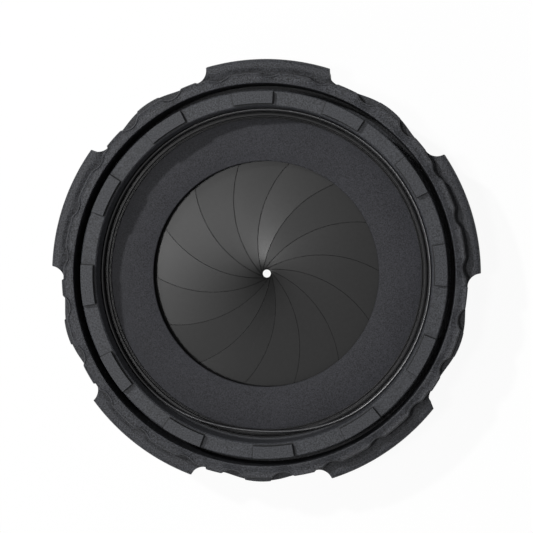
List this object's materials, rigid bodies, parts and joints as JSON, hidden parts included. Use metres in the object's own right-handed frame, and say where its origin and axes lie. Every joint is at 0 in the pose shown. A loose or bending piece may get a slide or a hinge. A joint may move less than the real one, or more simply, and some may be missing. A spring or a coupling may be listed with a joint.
{
  "type": "iris diaphragm",
  "caption": "Round iris diaphragm with overlapping curved blades, a lugged turning ring and a castellated front collar, shown nearly closed.",
  "frame": {"origin": "on the optical axis at the rear face of the rear spigot", "axes": "+Z along the optical axis out of the front socket, +Y up as the iris is seen from the front with a lug at the top, +X to the right"},
  "size_m": [0.0963, 0.0943, 0.0234],
  "materials": {
    "collar_black": "fine-grained matt black polyamide",
    "grip_black": "grainy matt black polyamide",
    "anodised_black": "matt black anodised",
    "plate_black": "satin black",
    "ring_gloss": "glossy black",
    "glide_polymer": "slippery grey polymer",
    "screw_black": "blackened steel",
    "blade_black": "smooth dark blued sheet steel",
    "pin_steel": "turned steel"
  },
  "bodies": {
    "housing": {"barrel": "collar_black", "rear_cover": "anodised_black", "rear_screws": "screw_black", "front_plate": "plate_black", "retaining_ring": "ring_gloss", "pivot_plate": "plate_black", "blade_spacer": "plate_black", "glide_ring": "glide_polymer"},
    "control_ring": {"grip_ring": "grip_black", "cam_ring": "plate_black"},
    "swing_blade_01": {"blade_01": "blade_black", "blade_pins_01": "pin_steel"},
    "swing_blade_02": {"blade_02": "blade_black", "blade_pins_02": "pin_steel"},
    "swing_blade_03": {"blade_03": "blade_black", "blade_pins_03": "pin_steel"},
    "swing_blade_04": {"blade_04": "blade_black", "blade_pins_04": "pin_steel"},
    "swing_blade_05": {"blade_05": "blade_black", "blade_pins_05": "pin_steel"},
    "swing_blade_06": {"blade_06": "blade_black", "blade_pins_06": "pin_steel"},
    "swing_blade_07": {"blade_07": "blade_black", "blade_pins_07": "pin_steel"},
    "swing_blade_08": {"blade_08": "blade_black", "blade_pins_08": "pin_steel"},
    "swing_blade_09": {"blade_09": "blade_black", "blade_pins_09": "pin_steel"},
    "swing_blade_10": {"blade_10": "blade_black", "blade_pins_10": "pin_steel"},
    "swing_blade_11": {"blade_11": "blade_black", "blade_pins_11": "pin_steel"},
    "swing_blade_12": {"blade_12": "blade_black", "blade_pins_12": "pin_steel"},
    "swing_blade_13": {"blade_13": "blade_black", "blade_pins_13": "pin_steel"},
    "swing_blade_14": {"blade_14": "blade_black", "blade_pins_14": "pin_steel"}
  },
  "joints": [
    {"name": "ring_turn", "type": "hinge", "parent": "housing", "child": "control_ring", "pos_m": [0, 0, 0.0105], "axis": [0, 0, 1], "range_deg": [-30, 0]},
    {"name": "blade_01_swing", "type": "hinge", "parent": "housing", "child": "swing_blade_01", "pos_m": [0.03033, 0.00324, 0.0118], "axis": [0, 0, 1], "range_deg": [-47.78, 0]},
    {"name": "blade_02_swing", "type": "hinge", "parent": "housing", "child": "swing_blade_02", "pos_m": [0.02592, 0.01608, 0.0118], "axis": [0, 0, 1], "range_deg": [-47.78, 0]},
    {"name": "blade_03_swing", "type": "hinge", "parent": "housing", "child": "swing_blade_03", "pos_m": [0.01637, 0.02573, 0.0118], "axis": [0, 0, 1], "range_deg": [-47.78, 0]},
    {"name": "blade_04_swing", "type": "hinge", "parent": "housing", "child": "swing_blade_04", "pos_m": [0.00359, 0.03029, 0.0118], "axis": [0, 0, 1], "range_deg": [-47.78, 0]},
    {"name": "blade_05_swing", "type": "hinge", "parent": "housing", "child": "swing_blade_05", "pos_m": [-0.00991, 0.02885, 0.0118], "axis": [0, 0, 1], "range_deg": [-47.78, 0]},
    {"name": "blade_06_swing", "type": "hinge", "parent": "housing", "child": "swing_blade_06", "pos_m": [-0.02144, 0.02169, 0.0118], "axis": [0, 0, 1], "range_deg": [-47.78, 0]},
    {"name": "blade_07_swing", "type": "hinge", "parent": "housing", "child": "swing_blade_07", "pos_m": [-0.02873, 0.01024, 0.0118], "axis": [0, 0, 1], "range_deg": [-47.78, 0]},
    {"name": "blade_08_swing", "type": "hinge", "parent": "housing", "child": "swing_blade_08", "pos_m": [-0.03033, -0.00324, 0.0118], "axis": [0, 0, 1], "range_deg": [-47.78, 0]},
    {"name": "blade_09_swing", "type": "hinge", "parent": "housing", "child": "swing_blade_09", "pos_m": [-0.02592, -0.01608, 0.0118], "axis": [0, 0, 1], "range_deg": [-47.78, 0]},
    {"name": "blade_10_swing", "type": "hinge", "parent": "housing", "child": "swing_blade_10", "pos_m": [-0.01637, -0.02573, 0.0118], "axis": [0, 0, 1], "range_deg": [-47.78, 0]},
    {"name": "blade_11_swing", "type": "hinge", "parent": "housing", "child": "swing_blade_11", "pos_m": [-0.00359, -0.03029, 0.0118], "axis": [0, 0, 1], "range_deg": [-47.78, 0]},
    {"name": "blade_12_swing", "type": "hinge", "parent": "housing", "child": "swing_blade_12", "pos_m": [0.00991, -0.02885, 0.0118], "axis": [0, 0, 1], "range_deg": [-47.78, 0]},
    {"name": "blade_13_swing", "type": "hinge", "parent": "housing", "child": "swing_blade_13", "pos_m": [0.02144, -0.02169, 0.0118], "axis": [0, 0, 1], "range_deg": [-47.78, 0]},
    {"name": "blade_14_swing", "type": "hinge", "parent": "housing", "child": "swing_blade_14", "pos_m": [0.02873, -0.01024, 0.0118], "axis": [0, 0, 1], "range_deg": [-47.78, 0]}
  ],
  "couplings": [
    {"joint": "blade_01_swing", "follows": "ring_turn", "ratio": 1.5924},
    {"joint": "blade_02_swing", "follows": "ring_turn", "ratio": 1.5924},
    {"joint": "blade_03_swing", "follows": "ring_turn", "ratio": 1.5924},
    {"joint": "blade_04_swing", "follows": "ring_turn", "ratio": 1.5924},
    {"joint": "blade_05_swing", "follows": "ring_turn", "ratio": 1.5924},
    {"joint": "blade_06_swing", "follows": "ring_turn", "ratio": 1.5924},
    {"joint": "blade_07_swing", "follows": "ring_turn", "ratio": 1.5924},
    {"joint": "blade_08_swing", "follows": "ring_turn", "ratio": 1.5924},
    {"joint": "blade_09_swing", "follows": "ring_turn", "ratio": 1.5924},
    {"joint": "blade_10_swing", "follows": "ring_turn", "ratio": 1.5924},
    {"joint": "blade_11_swing", "follows": "ring_turn", "ratio": 1.5924},
    {"joint": "blade_12_swing", "follows": "ring_turn", "ratio": 1.5924},
    {"joint": "blade_13_swing", "follows": "ring_turn", "ratio": 1.5924},
    {"joint": "blade_14_swing", "follows": "ring_turn", "ratio": 1.5924}
  ]
}
